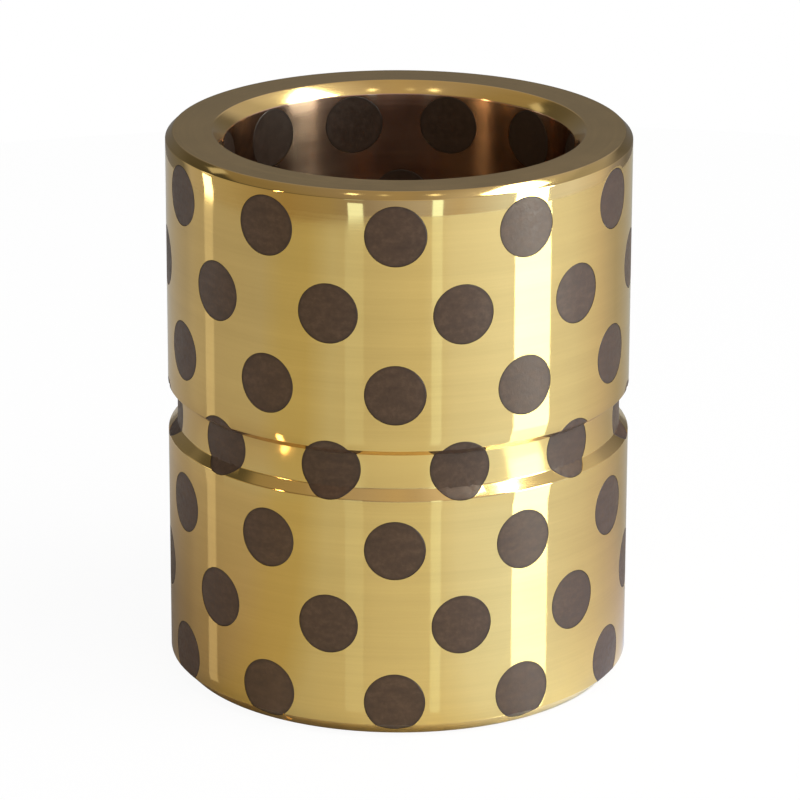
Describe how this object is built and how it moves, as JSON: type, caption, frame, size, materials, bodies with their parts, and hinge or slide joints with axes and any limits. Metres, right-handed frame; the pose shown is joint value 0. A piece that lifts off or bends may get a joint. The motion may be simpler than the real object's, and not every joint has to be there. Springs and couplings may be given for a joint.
{
  "type": "graphite plugged bushing",
  "caption": "Plain bronze guide bushing with a ring groove round its middle and solid graphite plugs set flush through the wall in staggered rows.",
  "frame": {"origin": "middle of the bottom end face, the end with the larger lead-in chamfer, on the bore's axis", "axes": "+Z along the bore's axis, up towards the end with the smaller outer chamfer; -Y through the middle of the first column of plugs"},
  "size_m": [0.04, 0.04, 0.048],
  "materials": {
    "bronze": "fine turned, bright",
    "graphite": "turned, matte"
  },
  "bodies": {
    "root": {"bronze_sleeve": "bronze", "graphite_plugs_01": "graphite", "graphite_plugs_02": "graphite", "graphite_plugs_03": "graphite", "graphite_plugs_04": "graphite", "graphite_plugs_05": "graphite", "graphite_plugs_06": "graphite", "graphite_plugs_07": "graphite", "graphite_plugs_08": "graphite", "graphite_plugs_09": "graphite", "graphite_plugs_10": "graphite", "graphite_plugs_11": "graphite", "graphite_plugs_12": "graphite", "graphite_plugs_13": "graphite", "graphite_plugs_14": "graphite", "graphite_plugs_15": "graphite", "graphite_plugs_16": "graphite", "graphite_plugs_17": "graphite", "graphite_plugs_18": "graphite", "graphite_plugs_19": "graphite", "graphite_plugs_20": "graphite", "graphite_plugs_21": "graphite", "graphite_plugs_22": "graphite"}
  },
  "joints": []
}
